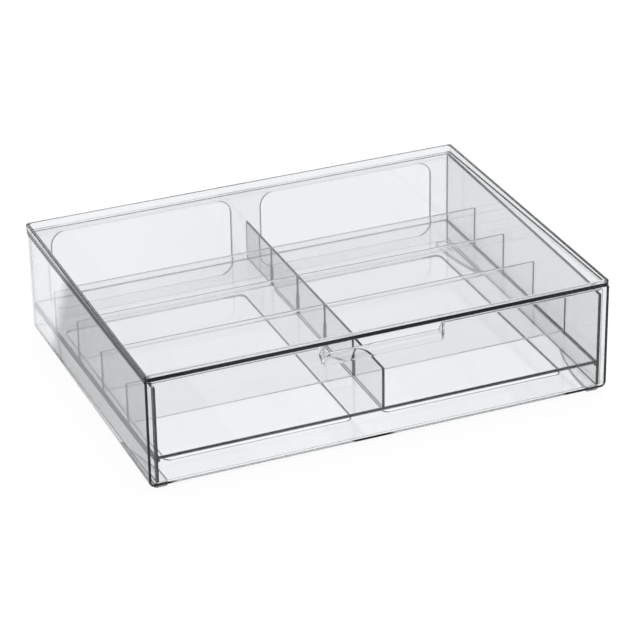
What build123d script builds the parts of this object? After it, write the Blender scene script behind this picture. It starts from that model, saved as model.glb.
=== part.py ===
"""Clear plastic drawer organizer for eyeglasses: an open-fronted case with a tray-shaped cover,
and one sliding drawer with a raised floor and a low grid of dividers.

Frame: +Z up, +X to the right seen from the front, the drawer opens towards -Y.
The origin is on the surface the feet stand on, at the middle of the outline. Lengths in millimetres.
"""

import os

from build123d import *

# Whole organizer
width = 408.4
depth = 306.4
height = 103.5
draft_per_side = 0.9

# Case moulding: floor, two sides and back in one shell, open at the front and the top
case_wall = 2.1
case_back_wall = 2.0
case_floor_thickness = 2.0
case_corner_radius = 5.2
case_edge_radius = 5.0
case_inner_corner_radius = 3.0
case_inner_edge_radius = 1.2
case_front_edge_radius = 0.6

# Two windows in the back wall and two in the floor, each pair either side of a middle bar
back_bar_width = 29.0
back_window_margin = 21.8
back_window_head = 5.9
back_window_sill = 10.6
back_window_radius = 13.0
floor_bar_width = 29.0
floor_window_margin = 25.5
floor_window_front_margin = 33.7
floor_window_rear_margin = 28.0
floor_window_radius = 6.0

# Cover: a panel that falls towards the back, with a raised rim that holds a unit stacked on top
cover_panel_thickness = 2.8
cover_rim_rise = 2.6
cover_panel_fall = 3.4
cover_rim_width = 2.6
cover_corner_radius = 2.5
cover_edge_radius = 0.6
cover_seam = 0.1

# Feet under the side edges: blunt towards the corner of the case, bowed on the inner side
foot_height = 3.35
foot_length = 75.2
foot_end_width = 12.0
foot_bow = 3.5
foot_edge_inset = 5.2
foot_end_margin = 3.0
foot_corner_radius = 2.5
foot_edge_chamfer = 0.6
foot_seam = 0.05

# Drawer walls: two sides and back in one bent wall that runs down to the case floor, a little
# narrower and lower towards the front
drawer_wall = 2.3
drawer_side_gap = 4.4
drawer_side_taper = 2.8
drawer_back_gap = 0.5
drawer_corner_radius = 2.5
drawer_runner_clearance = 0.3
drawer_wall_drop = 0.6
drawer_wall_fall = 2.6
drawer_wall_edge_radius = 0.4

# Drawer floor: a plate on a narrow ledge, well above the case floor
drawer_floor_raise = 23.55
drawer_floor_thickness = 2.6
drawer_floor_edge_gap = 0.2
ledge_width = 1.6
ledge_height = 2.0
seat_gap = 0.1

# Drawer front: a panel a little wider than the drawer behind it, with a finger lip rolled inwards
# at the top middle
front_thickness = 2.6
front_side_gap = 3.6
front_corner_radius = 0.8
front_bottom_gap = 1.3
front_top_gap = 1.7
front_edge_radius = 0.5
pull_width = 104.0
pull_radius = 8.0
pull_wall = 2.4
pull_drop = 8.9
pull_lip_radius = 0.9
pull_cheek_thickness = 2.0

# Dividers: one along the middle and four across, half-lapped where they cross
divider_thickness = 2.0
divider_height = 36.6
divider_end_gap = 0.15
divider_edge_radius = 0.5
lap_clearance = 0.15
row_count = 5

# Length by which every cutting shape runs past what it cuts
overrun = 5.0

# Levels and faces that several pieces share
front_y = -depth / 2
back_y = depth / 2
cover_front_z = height - cover_rim_rise - cover_panel_thickness
cover_back_z = cover_front_z - cover_panel_fall
case_bottom_z = foot_height + foot_seam
case_floor_z = case_bottom_z + case_floor_thickness
case_inner_back_y = back_y - case_back_wall
drawer_bottom_z = case_floor_z + drawer_runner_clearance
drawer_floor_z = drawer_bottom_z + drawer_floor_raise
drawer_floor_under_z = drawer_floor_z - drawer_floor_thickness
drawer_wall_back_z = cover_back_z - drawer_wall_drop
drawer_wall_front_z = drawer_wall_back_z - drawer_wall_fall
drawer_half = width / 2 - case_wall - drawer_side_gap
drawer_inner_half = drawer_half - drawer_wall
drawer_back_y = case_inner_back_y - drawer_back_gap
drawer_inner_back_y = drawer_back_y - drawer_wall
front_inner_y = front_y + front_thickness
front_half = width / 2 - case_wall - front_side_gap
divider_bottom_z = drawer_floor_z + seat_gap
divider_top_z = drawer_floor_z + divider_height
front_bottom_z = case_floor_z + front_bottom_gap
front_top_z = cover_front_z - front_top_gap


def half_at(y, half, draft):
    """Half width at a depth, of a plan that narrows by the draft over the depth of the case."""
    return half - draft * (y - front_y) / depth


def outline(half, draft, y_front, y_back, corner_radius):
    """Plan outline between two depths with straight, drafted sides and rounded rear corners."""
    near = half_at(y_front, half, draft)
    far = half_at(y_back, half, draft)
    corners = [(-near, y_front), (near, y_front), (far, y_back), (-far, y_back)]
    plan = make_face(Polyline(*corners, close=True))
    return fillet(plan.vertices().group_by(Axis.Y)[-1], corner_radius)


def prism(plan, z_low, z_high):
    """A plan outline raised from one level to another."""
    return extrude(Pos(0, 0, z_low) * plan, amount=z_high - z_low)


def below_slope(z_front, z_back):
    """Everything under a plane that passes through a level at the front and one at the back."""
    slope = (z_back - z_front) / depth
    profile = [
        (front_y - overrun, -overrun),
        (back_y + overrun, -overrun),
        (back_y + overrun, z_back + slope * overrun),
        (front_y - overrun, z_front - slope * overrun),
    ]
    face = make_face(Plane.YZ * Polyline(*profile, close=True))
    return extrude(face, amount=width / 2 + overrun, both=True)


def side_and_back_edges(face):
    """The edges of a face without the edge along its front."""
    return face.edges() - face.edges().group_by(Axis.Y)[0]


def case_body():
    """Moulded shell: floor, sides and back, with its windows cut through."""
    plan = outline(width / 2, draft_per_side, front_y, back_y, case_corner_radius)
    shell = prism(plan, case_bottom_z, height)
    shell = fillet(side_and_back_edges(shell.faces().sort_by(Axis.Z)[0]), case_edge_radius)
    hollow_plan = outline(
        width / 2 - case_wall,
        draft_per_side,
        front_y - overrun,
        case_inner_back_y,
        case_inner_corner_radius,
    )
    hollow = prism(hollow_plan, case_floor_z, height + overrun)
    hollow = fillet(side_and_back_edges(hollow.faces().sort_by(Axis.Z)[0]), case_inner_edge_radius)
    shell -= hollow
    front_face = shell.faces().sort_by(Axis.Y)[0]
    below_top = front_face.edges() - front_face.edges().group_by(Axis.Z)[-1]
    shell = fillet(below_top, case_front_edge_radius)
    shell &= below_slope(cover_front_z - cover_seam, cover_back_z - cover_seam)
    back_half = width / 2 - draft_per_side
    back_width = back_half - back_window_margin - back_bar_width / 2
    back_top_z = cover_back_z - back_window_head
    back_height = back_top_z - case_bottom_z - back_window_sill
    back_window = Plane.XZ * RectangleRounded(back_width, back_height, back_window_radius)
    back_cut = extrude(back_window, amount=case_back_wall / 2 + overrun, both=True)
    floor_width = width / 2 - floor_window_margin - floor_bar_width / 2
    floor_depth = depth - floor_window_front_margin - floor_window_rear_margin
    floor_window = RectangleRounded(floor_width, floor_depth, floor_window_radius)
    floor_cut = extrude(floor_window, amount=case_floor_thickness / 2 + overrun, both=True)
    back_x = (back_bar_width + back_width) / 2
    floor_x = (floor_bar_width + floor_width) / 2
    floor_y = front_y + floor_window_front_margin + floor_depth / 2
    for side in (-1, 1):
        shell -= Pos(side * back_x, back_y - case_back_wall / 2, back_top_z - back_height / 2) * back_cut
        shell -= Pos(side * floor_x, floor_y, case_bottom_z + case_floor_thickness / 2) * floor_cut
    return shell


def top_cover():
    """Panel with an upstanding rim all round, standing on the case walls."""
    plan = outline(width / 2, draft_per_side, front_y, back_y, cover_corner_radius)
    plan = fillet(plan.vertices().group_by(Axis.Y)[0], cover_corner_radius)
    cover = prism(plan, case_floor_z, height)
    cover = fillet(cover.faces().sort_by(Axis.Z)[-1].edges(), cover_edge_radius)
    tray_plan = outline(
        width / 2 - cover_rim_width,
        draft_per_side,
        front_y + cover_rim_width,
        back_y - cover_rim_width,
        cover_corner_radius,
    )
    panel_z = (cover_front_z + cover_back_z) / 2 + cover_panel_thickness
    panel_top = Plane(origin=(0, 0, panel_z), x_dir=(1, 0, 0), z_dir=(0, cover_panel_fall, depth))
    tray = extrude(panel_top * tray_plan, amount=cover_rim_rise + cover_panel_fall + overrun)
    return cover - below_slope(cover_front_z, cover_back_z) - tray


def foot(side, rear):
    """Pad with a straight outer side, a blunt end at the case corner and a bowed inner side."""
    end = 1 if rear else -1
    outer = width / 2 - foot_edge_inset - (draft_per_side if rear else 0)
    y_end = end * (depth / 2 - foot_end_margin)
    y_tip = y_end - end * foot_length
    blunt = (outer - foot_end_width, y_end)
    tip = (outer, y_tip)
    middle = ((blunt[0] + tip[0]) / 2 - foot_bow, (y_end + y_tip) / 2)
    rim = Polyline(tip, (outer, y_end), blunt) + ThreePointArc(blunt, middle, tip)
    plan = make_face(rim)
    corners = plan.vertices().sort_by(Axis.Y)
    plan = fillet(corners[1:] if rear else corners[:-1], foot_corner_radius)
    pad = prism(plan, 0, foot_height)
    pad = chamfer(pad.faces().sort_by(Axis.Z)[0].edges(), foot_edge_chamfer)
    return pad if side > 0 else mirror(pad, Plane.YZ)


def drawer_walls():
    """Two sides and the back as one bent wall, with a ledge inside that carries the floor."""
    inner_radius = drawer_corner_radius - drawer_wall
    y_low = front_inner_y + seat_gap
    plan = outline(drawer_half, -drawer_side_taper, y_low, drawer_back_y, drawer_corner_radius)
    wall = prism(plan, drawer_bottom_z, cover_front_z) & below_slope(drawer_wall_front_z, drawer_wall_back_z)
    wall = fillet(side_and_back_edges(wall.faces().sort_by(Axis.Z)[-1]), drawer_wall_edge_radius)
    inside = outline(
        drawer_inner_half,
        -drawer_side_taper,
        y_low - overrun,
        drawer_inner_back_y,
        inner_radius,
    )
    wall -= prism(inside, drawer_bottom_z - overrun, cover_front_z + overrun)
    ledge_top_z = drawer_floor_under_z - seat_gap
    ledge = plan - outline(
        drawer_inner_half - ledge_width,
        -drawer_side_taper,
        y_low - overrun,
        drawer_inner_back_y - ledge_width,
        inner_radius,
    )
    return wall + prism(ledge, ledge_top_z - ledge_height, ledge_top_z)


def drawer_floor():
    """Flat plate that lies on the ledge between the walls."""
    plan = outline(
        drawer_inner_half - drawer_floor_edge_gap,
        -drawer_side_taper,
        front_inner_y + seat_gap,
        drawer_inner_back_y - drawer_floor_edge_gap,
        drawer_corner_radius - drawer_wall,
    )
    return prism(plan, drawer_floor_under_z, drawer_floor_z)


def drawer_front():
    """Panel with a softened face, whose top middle rolls inwards between two cheeks."""
    panel_height = front_top_z - front_bottom_z
    panel = Box(2 * front_half, front_thickness, panel_height)
    panel = Pos(0, front_y + front_thickness / 2, front_bottom_z + panel_height / 2) * panel
    panel = fillet(panel.edges().filter_by(Axis.Z).group_by(Axis.Y)[0], front_corner_radius)
    panel = fillet(panel.faces().sort_by(Axis.Y)[0].edges().filter_by(Axis.X), front_edge_radius)
    roll_z = front_top_z - pull_drop - pull_radius
    notch_height = front_top_z + overrun - roll_z
    notch = Box(pull_width, front_thickness + 2 * overrun, notch_height)
    panel -= Pos(0, front_y + front_thickness / 2, roll_z + notch_height / 2) * notch
    inner_radius = pull_radius - pull_wall
    outer_arc = JernArc((0, 0), (0, 1), pull_radius, -90)
    inner_arc = JernArc((pull_wall, 0), (0, 1), inner_radius, -90)
    lip_end = Line(outer_arc @ 1, inner_arc @ 1)
    root = Line(outer_arc @ 0, inner_arc @ 0)
    section = make_face(outer_arc + lip_end + inner_arc + root)
    section = fillet(section.vertices().group_by(Axis.X)[-1], pull_lip_radius)
    cheek_rise = pull_radius + pull_drop
    cheek_corners = [
        (0, 0),
        (0, cheek_rise),
        (front_thickness, cheek_rise),
        (pull_radius, pull_radius),
        (pull_radius, 0),
    ]
    cheek = make_face(Polyline(*cheek_corners, close=True))
    cheek -= Pos(pull_radius, 0) * Circle(inner_radius)
    section_plane = Plane(origin=(0, front_y, roll_z), x_dir=(0, 1, 0), z_dir=(1, 0, 0))
    panel += extrude(section_plane * section, amount=pull_width / 2, both=True)
    for side in (-1, 1):
        offset = side * (pull_width + pull_cheek_thickness) / 2
        plate = extrude(section_plane * cheek, amount=pull_cheek_thickness / 2, both=True)
        panel += Pos(offset, 0, 0) * plate
    return panel


def strip(length):
    """An upright divider strip along X with a softened top edge, centred on its length."""
    rise = divider_top_z - divider_bottom_z
    bar = Pos(0, 0, divider_bottom_z + rise / 2) * Box(length, divider_thickness, rise)
    top_edges = bar.faces().sort_by(Axis.Z)[-1].edges().filter_by(Axis.X)
    return fillet(top_edges, divider_edge_radius)


def lap_slot(z_low, z_high):
    """A slot, wide enough for a crossing strip, between two levels."""
    slot_width = divider_thickness + 2 * lap_clearance
    slot = Box(slot_width, divider_thickness + 2 * overrun, z_high - z_low)
    return Pos(0, 0, (z_low + z_high) / 2) * slot


row_pitch = (drawer_inner_back_y - front_inner_y) / row_count
lap_z = (divider_bottom_z + divider_top_z) / 2


def row_y(number):
    """Depth of a cross divider, counted from the back."""
    return drawer_inner_back_y - number * row_pitch


def centre_divider():
    """Strip from the back wall to the front panel, slotted from above for the cross strips."""
    y_low = front_inner_y + divider_end_gap
    y_high = drawer_inner_back_y - divider_end_gap
    bar = Pos(0, (y_low + y_high) / 2, 0) * Rot(0, 0, 90) * strip(y_high - y_low)
    slot = Rot(0, 0, 90) * lap_slot(lap_z - lap_clearance, divider_top_z + overrun)
    for number in range(1, row_count):
        bar -= Pos(0, row_y(number), 0) * slot
    return bar


def cross_divider(number):
    """Strip from side wall to side wall, slotted from below for the middle strip."""
    half = half_at(row_y(number), drawer_inner_half, -drawer_side_taper) - divider_end_gap
    bar = strip(2 * half)
    bar -= lap_slot(divider_bottom_z - overrun, lap_z + lap_clearance)
    return Pos(0, row_y(number), 0) * bar


pieces = {
    "case_body": case_body(),
    "top_cover": top_cover(),
    "drawer_walls": drawer_walls(),
    "drawer_floor": drawer_floor(),
    "drawer_front": drawer_front(),
    "centre_divider": centre_divider(),
}
for end_name, rear in (("front", False), ("rear", True)):
    for side_name, side in (("left", -1), ("right", 1)):
        pieces[f"foot_{end_name}_{side_name}"] = foot(side, rear)
for number in range(1, row_count):
    pieces[f"cross_divider_{number}"] = cross_divider(number)

os.makedirs("parts", exist_ok=True)
for name, shape in pieces.items():
    export_step(shape, f"parts/{name}.step")
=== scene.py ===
"""Clear plastic drawer organizer for eyeglasses, dressed for a plain white studio."""
import math

import bpy
from mathutils import Matrix, Vector

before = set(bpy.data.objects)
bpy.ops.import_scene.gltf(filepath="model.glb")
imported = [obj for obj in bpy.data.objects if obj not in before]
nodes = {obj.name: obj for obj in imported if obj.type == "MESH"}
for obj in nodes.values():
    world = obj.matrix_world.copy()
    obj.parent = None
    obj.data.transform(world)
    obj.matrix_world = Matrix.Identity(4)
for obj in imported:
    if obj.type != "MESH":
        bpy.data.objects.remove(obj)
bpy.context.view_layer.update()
MM = 0.001


# Case body
# The shell is shot in one piece from clear PET: floor, sides and back, with windows left open. The
# mould is polished, so its broad faces are like glass with a slow swim in them from the cooling
# melt. Its edges are eased, and those beside the side faces carry painted shade, a near-black base
# colour.
def linear(hex_colour):
    """Linear RGBA of an sRGB hex colour."""
    channels = [int(hex_colour[i:i + 2], 16) / 255 for i in (1, 3, 5)]
    return [c / 12.92 if c <= 0.04045 else ((c + 0.055) / 1.055) ** 2.4 for c in channels] + [1.0]


def add_node(material, kind, settings=None, links=None):
    """Adds one shader node, sets its sockets or properties and links its inputs."""
    node = material.node_tree.nodes.new(kind)
    for key, value in (settings or {}).items():
        if key in node.inputs:
            node.inputs[key].default_value = value
        else:
            setattr(node, key, value)
    for key, source in (links or {}).items():
        material.node_tree.links.new(source, node.inputs[key])
    return node


def math_step(material, operation, first, second=0.0, third=0.0):
    """One arithmetic node; each operand is a number or a socket."""
    node = add_node(material, "ShaderNodeMath", {"operation": operation})
    for socket, operand in zip(node.inputs, (first, second, third)):
        if isinstance(operand, (int, float)):
            socket.default_value = operand
        else:
            material.node_tree.links.new(operand, socket)
    return node.outputs[0]


def map_range(material, value, source, target, curve="LINEAR"):
    """Maps a socket from one range of numbers to another and holds it there."""
    settings = {"interpolation_type": curve, "From Min": source[0], "From Max": source[1],
                "To Min": target[0], "To Max": target[1]}
    return add_node(material, "ShaderNodeMapRange", settings, {"Value": value}).outputs["Result"]


def axes_of(material, vector):
    """The X, Y and Z sockets of a vector socket."""
    return add_node(material, "ShaderNodeSeparateXYZ", None, {"Vector": vector}).outputs


def painted_shade_side_edges(material, eased_normal, tone):
    """White on the faces, and painted shade, a darker base colour, on the eased edges beside a face that
    points along X.
    """
    lean_range = (0.07, 0.14)
    face_normal = add_node(material, "ShaderNodeNewGeometry").outputs["Normal"]
    leaning = add_node(material, "ShaderNodeVectorMath", {"operation": "SUBTRACT"},
                       {0: eased_normal, 1: face_normal}).outputs["Vector"]
    lean = add_node(material, "ShaderNodeVectorMath", {"operation": "LENGTH"},
                    {0: leaning}).outputs["Value"]
    faces_side = math_step(material, "ABSOLUTE", axes_of(material, face_normal)["X"])
    leans_side = math_step(material, "ABSOLUTE", axes_of(material, leaning)["X"])
    on_side_face = math_step(material, "MULTIPLY", lean, faces_side)
    painted_shade_mask = math_step(material, "MAXIMUM", on_side_face, leans_side)
    return map_range(material, painted_shade_mask, lean_range, (1.0, tone))


def clear_pet(name, tint, absorb_per_m, eased_mm, painted_edge_shade, swim_mm, swim_height_mm, haze, rub_scale):
    """Polished clear PET; rub marks run along the axes where rub_scale is small."""
    refraction, edge_samples = 1.57, 12
    smudge_mm, smudge_range = 38, (0.5, 0.75)
    rub_mm, rub_range = 1.2, (0.68, 0.8)
    material = bpy.data.materials.new(name)
    material.use_nodes = True
    material.node_tree.nodes.clear()
    place = add_node(material, "ShaderNodeTexCoord").outputs["Object"]
    eased_normal = add_node(material, "ShaderNodeBevel",
                            {"samples": edge_samples, "Radius": eased_mm * MM}).outputs["Normal"]
    swim = add_node(material, "ShaderNodeTexNoise", {"Scale": 1 / (swim_mm * MM), "Detail": 1.0},
                    {"Vector": place})
    swim_normal = add_node(material, "ShaderNodeBump", {"Strength": 1.0, "Distance": swim_height_mm * MM},
                           {"Height": swim.outputs["Fac"], "Normal": eased_normal}).outputs["Normal"]
    smudge = add_node(material, "ShaderNodeTexNoise",
                      {"Scale": 1 / (smudge_mm * MM), "Detail": 3.0, "Roughness": 0.6}, {"Vector": place})
    stretched = add_node(material, "ShaderNodeMapping", {"Scale": rub_scale}, {"Vector": place})
    rub = add_node(material, "ShaderNodeTexNoise", {"Scale": 1 / (rub_mm * MM), "Detail": 2.0},
                   {"Vector": stretched.outputs["Vector"]})
    smudged = map_range(material, smudge.outputs["Fac"], smudge_range, (0.0, haze))
    rubbed = map_range(material, rub.outputs["Fac"], rub_range, (0.0, haze))
    # Painted shade: the base colour turns dark on the eased edges beside the faces that point along X.
    plastic = add_node(material, "ShaderNodeBsdfPrincipled",
                       {"IOR": refraction, "Transmission Weight": 1.0},
                       {"Base Color": painted_shade_side_edges(material, eased_normal, painted_edge_shade),
                        "Roughness": math_step(material, "ADD", smudged, rubbed), "Normal": swim_normal})
    inside = add_node(material, "ShaderNodeVolumeAbsorption",
                      {"Color": linear(tint), "Density": absorb_per_m})
    add_node(material, "ShaderNodeOutputMaterial", None,
             {"Surface": plastic.outputs["BSDF"], "Volume": inside.outputs["Volume"]})
    return material


nodes["case_body"].data.materials[0] = clear_pet(
    "case_clear_pet", tint="#A6AAAE", absorb_per_m=16.0, eased_mm=1.8, painted_edge_shade=0.05,
    swim_mm=70, swim_height_mm=0.03, haze=0.03, rub_scale=(0.04, 1.0, 0.04))

# Top cover
# A thinner tray-shaped panel bonded on the case walls. Units stacked on it have rubbed it a little
# from front to back.
# Painted shade: a dark base colour on the eased edges beside the side faces.
nodes["top_cover"].data.materials[0] = clear_pet(
    "cover_clear_pet", tint="#A6AAAE", absorb_per_m=10.0, eased_mm=1.2, painted_edge_shade=0.08,
    swim_mm=90, swim_height_mm=0.03, haze=0.03, rub_scale=(1.0, 0.03, 1.0))

# Feet
# Four bowed pads under the side edges, in the same clear plastic. They stand on the shelf, so they
# are scuffed most.
# Painted shade: a dark base colour on the eased edges beside the side faces.
foot_plastic = clear_pet(
    "foot_clear_pet", tint="#A0A4A8", absorb_per_m=40.0, eased_mm=1.2, painted_edge_shade=0.08,
    swim_mm=25, swim_height_mm=0.02, haze=0.12, rub_scale=(1.0, 0.2, 1.0))
for node_name in ("foot_front_left", "foot_front_right", "foot_rear_left", "foot_rear_right"):
    nodes[node_name].data.materials[0] = foot_plastic

# Drawer walls
# One bent wall round three sides. It slides in the case, so its rub marks run from front to back,
# and painted shade, a black base colour, draws dark lines on its edges.
nodes["drawer_walls"].data.materials[0] = clear_pet(
    "drawer_wall_clear_pet", tint="#A6AAAE", absorb_per_m=24.0, eased_mm=2.1, painted_edge_shade=0.0,
    swim_mm=60, swim_height_mm=0.03, haze=0.03, rub_scale=(1.0, 0.03, 1.0))

# Drawer floor
# A flat plate that lies on a ledge in the walls. Use has left fine marks on it from side to side,
# and painted shade, a black base colour, draws dark lines on its long edges.
nodes["drawer_floor"].data.materials[0] = clear_pet(
    "drawer_floor_clear_pet", tint="#A6AAAE", absorb_per_m=6.0, eased_mm=2.0, painted_edge_shade=0.0,
    swim_mm=80, swim_height_mm=0.02, haze=0.04, rub_scale=(0.05, 1.0, 1.0))

# Drawer front
# The front panel with its rolled finger lip, handled more than the rest and so a little hazier.
# Its thin edges get the lightest painted shade, a pale grey base colour.
nodes["drawer_front"].data.materials[0] = clear_pet(
    "drawer_front_clear_pet", tint="#A6AAAE", absorb_per_m=6.0, eased_mm=0.6, painted_edge_shade=0.4,
    swim_mm=60, swim_height_mm=0.03, haze=0.05, rub_scale=(0.05, 1.0, 1.0))

# Dividers
# Thin strips with polished edges, half-lapped where they cross. All five share one plastic, with
# painted shade, a black base colour, on the edges, as dark as on the drawer walls.
divider_plastic = clear_pet(
    "divider_clear_pet", tint="#A0A4A8", absorb_per_m=32.0, eased_mm=1.8, painted_edge_shade=0.0,
    swim_mm=50, swim_height_mm=0.02, haze=0.03, rub_scale=(0.05, 1.0, 1.0))
for node_name in ("centre_divider", "cross_divider_1", "cross_divider_2",
                  "cross_divider_3", "cross_divider_4"):
    nodes[node_name].data.materials[0] = divider_plastic

# Studio
# A white floor for the eye. To rays that leave the plastic it is a thin white veil, a painted
# reflection that glows for them alone, and the world behind it holds four soft boxes with dark gaps
# between them, which draw the edges of the pieces.
COOL_WHITE = "#FBFDFF"
FLOOR_RADIUS, FLOOR_CORNERS = 6.0, 96
FLOOR_GLOW = 0.94
VEIL = 0.42
MIRROR_SLANT = 2.405
PAINTED_PATCH_EDGE, PAINTED_PATCH_LEFT_OF = (-0.406, -0.376), -0.2
MIDDLE_X, MIDDLE_REACH = -0.03, 0.08
MIDDLE_RUN, MIDDLE_VEIL = (-0.15, 0.13), (0.62, 0.0)
bpy.ops.object.select_all(action="DESELECT")
bpy.ops.mesh.primitive_circle_add(vertices=FLOOR_CORNERS, radius=FLOOR_RADIUS, fill_type="NGON")
floor = bpy.context.object
floor.name = "studio_floor"
paper = bpy.data.materials.new("white_studio_floor")
paper.use_nodes = True
paper.node_tree.nodes.clear()
matt = add_node(paper, "ShaderNodeBsdfDiffuse", {"Color": linear("#F2F2F2")})
glow = add_node(paper, "ShaderNodeEmission", {"Color": (1, 1, 1, 1), "Strength": 1.0})
to_eye = add_node(paper, "ShaderNodeMixShader", {"Fac": FLOOR_GLOW},
                  {1: matt.outputs[0], 2: glow.outputs[0]})
# The veil is painted reflection: an opaque white glow from the rear left corner on, which thins
# from front to back in the middle. Both run along the slant at which the sides mirror the floor.
spot = axes_of(paper, add_node(paper, "ShaderNodeTexCoord").outputs["Object"])
along = math_step(paper, "MULTIPLY_ADD", spot["X"], MIRROR_SLANT, spot["Y"])
painted_reflection_patch = map_range(paper, along, PAINTED_PATCH_EDGE, (VEIL, 1.0), "SMOOTHSTEP")
beside = math_step(paper, "LESS_THAN", spot["X"], PAINTED_PATCH_LEFT_OF)
painted_reflection_left = add_node(paper, "ShaderNodeMix", {"data_type": "FLOAT", "A": VEIL},
                     {"Factor": beside, "B": painted_reflection_patch})
middle = math_step(paper, "COMPARE", spot["X"], MIDDLE_X, MIDDLE_REACH)
painted_reflection_thinning = map_range(paper, along, MIDDLE_RUN, MIDDLE_VEIL)
share = add_node(paper, "ShaderNodeMix", {"data_type": "FLOAT"},
                 {"Factor": middle, "A": painted_reflection_left.outputs["Result"], "B": painted_reflection_thinning})
behind = add_node(paper, "ShaderNodeBsdfTransparent")
veil = add_node(paper, "ShaderNodeEmission", {"Color": linear(COOL_WHITE), "Strength": 1.0})
# Painted reflection: the floor glows white here only for rays that come from the plastic.
to_plastic = add_node(paper, "ShaderNodeMixShader", None,
                      {"Fac": share.outputs["Result"], 1: behind.outputs[0], 2: veil.outputs[0]})
ray = add_node(paper, "ShaderNodeLightPath").outputs
from_plastic = math_step(paper, "MAXIMUM", ray["Is Glossy Ray"], ray["Is Transmission Ray"])
not_eye = math_step(paper, "SUBTRACT", from_plastic, ray["Is Camera Ray"])
floor_look = add_node(paper, "ShaderNodeMixShader", None,
                      {"Fac": not_eye, 1: to_eye.outputs[0], 2: to_plastic.outputs[0]})
add_node(paper, "ShaderNodeOutputMaterial", None, {"Surface": floor_look.outputs[0]})
floor.data.materials.append(paper)

BOX_COUNT, BOX_TURN = 4.0, math.radians(22.5)
BOX_EDGE = (-0.9, -0.25)
GAP_LEVEL, BOX_LEVEL = 0.1, 0.88
OVERHEAD_EDGE = (0.6, 0.85)
world = bpy.data.worlds.new("soft_boxes")
bpy.context.scene.world = world
world.use_nodes = True
world.node_tree.nodes.clear()
compass = axes_of(world, add_node(world, "ShaderNodeTexCoord").outputs["Generated"])
angle = math_step(world, "ARCTAN2", compass["X"], compass["Y"])
turned = math_step(world, "MULTIPLY_ADD", angle, BOX_COUNT, -BOX_COUNT * BOX_TURN)
boxes = map_range(world, math_step(world, "COSINE", turned), BOX_EDGE, (0.0, 1.0), "SMOOTHSTEP")
round_about = math_step(world, "MULTIPLY_ADD", boxes, BOX_LEVEL - GAP_LEVEL, GAP_LEVEL)
overhead = map_range(world, compass["Z"], OVERHEAD_EDGE, (0.0, 1.0), "SMOOTHSTEP")
above = math_step(world, "MAXIMUM", round_about, overhead)
under = math_step(world, "LESS_THAN", compass["Z"], 0.0)
dome = add_node(world, "ShaderNodeMix", {"data_type": "FLOAT"},
                {"Factor": under, "A": above, "B": boxes})
white = math_step(world, "MAXIMUM", dome.outputs["Result"],
                  add_node(world, "ShaderNodeLightPath").outputs["Is Camera Ray"])
sky = add_node(world, "ShaderNodeBackground", {"Color": linear(COOL_WHITE)}, {"Strength": white})
add_node(world, "ShaderNodeOutputWorld", None, {"Surface": sky.outputs[0]})

LAMPS = {
    "lamp_overhead": {"place": (0.5, 0.6, 2.0), "size": 1.4, "watts": 60.0},
    "lamp_left": {"place": (-2.0, -0.6, 1.4), "size": 1.0, "watts": 18.0},
}
for lamp_name, values in LAMPS.items():
    lamp = bpy.data.lights.new(lamp_name, "AREA")
    lamp.size = values["size"]
    lamp.energy = values["watts"]
    lamp_object = bpy.data.objects.new(lamp_name, lamp)
    lamp_object.location = values["place"]
    lamp_object.rotation_euler = (-Vector(values["place"])).to_track_quat("-Z", "Y").to_euler()
    lamp_object.visible_glossy = False
    lamp_object.visible_transmission = False
    bpy.context.scene.collection.objects.link(lamp_object)

# Camera
# Long lens from the front left, a little above the case, tilted by a hair. Light may bounce many
# times, because a line of sight crosses many clear faces.
AZIMUTH, ELEVATION, ROLL = -22.511, 27.406, -0.880
DISTANCE = 2.4527
TARGET = Vector((0.00759, -0.00086, 0.03659))
FOCAL_PIXELS, FRAME_PIXELS, SENSOR = 2860.2, 640, 36.0
CLEAR_BOUNCES, GLOSSY_BOUNCES = 48, 24
azimuth, elevation, roll = (math.radians(a) for a in (AZIMUTH, ELEVATION, ROLL))
away = Vector((math.sin(azimuth) * math.cos(elevation),
               -math.cos(azimuth) * math.cos(elevation),
               math.sin(elevation)))
lens = bpy.data.cameras.new("camera")
lens.sensor_width = SENSOR
lens.lens = FOCAL_PIXELS / FRAME_PIXELS * SENSOR
camera = bpy.data.objects.new("camera", lens)
turn = (-away).to_track_quat("-Z", "Y").to_matrix() @ Matrix.Rotation(roll, 3, "Z")
camera.location = TARGET + away * DISTANCE
camera.rotation_euler = turn.to_euler()
bpy.context.scene.collection.objects.link(camera)
bpy.context.scene.camera = camera

scene = bpy.context.scene
scene.view_settings.view_transform = "Standard"
scene.cycles.max_bounces = CLEAR_BOUNCES
scene.cycles.transmission_bounces = CLEAR_BOUNCES
scene.cycles.glossy_bounces = GLOSSY_BOUNCES
